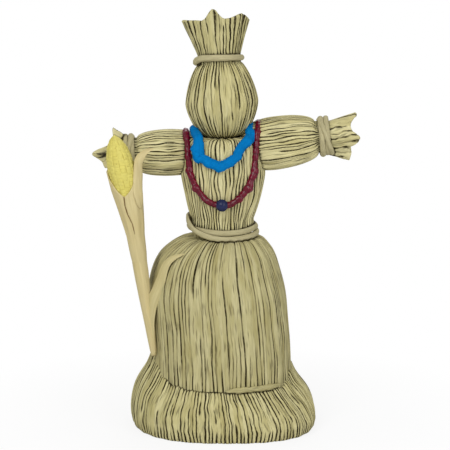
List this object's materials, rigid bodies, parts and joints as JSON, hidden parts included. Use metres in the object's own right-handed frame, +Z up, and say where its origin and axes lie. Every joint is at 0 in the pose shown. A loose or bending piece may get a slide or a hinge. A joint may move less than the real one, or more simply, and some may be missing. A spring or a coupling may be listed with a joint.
{
  "type": "corn_dolly",
  "caption": "Standing straw doll of tied bundles, with a husk topknot, bead strands at its neck and an ear of corn on a stalk in its right hand",
  "frame": {"origin": "middle of the flat sole that the doll stands on", "axes": "+Z up through the head, -Y the way the doll faces, +X its left hand"},
  "size_m": [0.1071, 0.066, 0.1673],
  "materials": {
    "straw": "matt dry straw",
    "core_straw": "matt dry straw",
    "cord": "matt twine",
    "tuft": "matt dry husk",
    "husk": "smooth dry husk",
    "corn": "satin kernels",
    "blue_beads": "matt",
    "red_beads": "gloss",
    "navy_bead": "gloss"
  },
  "bodies": {
    "doll": {"over_skirt": "straw", "under_skirt": "straw", "torso": "straw", "head_bundle": "straw", "left_arm": "straw", "right_arm": "straw", "spine_core": "core_straw", "arm_core": "core_straw", "head_padding": "core_straw", "waist_tie": "cord", "neck_tie": "cord", "crown_tie": "cord", "left_wrist_tie": "cord", "right_wrist_tie": "cord", "right_wrist_knot": "cord", "topknot": "tuft", "left_hand": "tuft", "right_hand": "tuft", "blue_strand_nape": "blue_beads", "red_strand_nape": "red_beads"},
    "staff": {"corn_stalk": "husk", "corn_cob": "corn", "husk_sheath": "husk", "husk_leaf": "husk", "stalk_leaf": "husk"},
    "blue_necklace": {"blue_strand": "blue_beads"},
    "red_necklace": {"red_strand": "red_beads"},
    "pendant": {"pendant_bead": "navy_bead"}
  },
  "joints": [
    {"name": "staff_lift", "type": "slide", "parent": "doll", "child": "staff", "axis": [-0.1388, -0.0041, 0.9903], "range_m": [0, 0.1]},
    {"name": "blue_necklace_swing", "type": "hinge", "parent": "doll", "child": "blue_necklace", "pos_m": [0, -0.0015, 0.11954], "axis": [-0.9996, -0.0086, -0.0259], "range_deg": [0, 20]},
    {"name": "red_necklace_swing", "type": "hinge", "parent": "doll", "child": "red_necklace", "pos_m": [0, -0.00111, 0.12209], "axis": [-0.9913, -0.0001, -0.1315], "range_deg": [0, 35]},
    {"name": "pendant_spin", "type": "hinge", "parent": "red_necklace", "child": "pendant", "pos_m": [0, -0.01484, 0.09164], "axis": [1, 0.0003, -0.0018], "continuous": true}
  ]
}
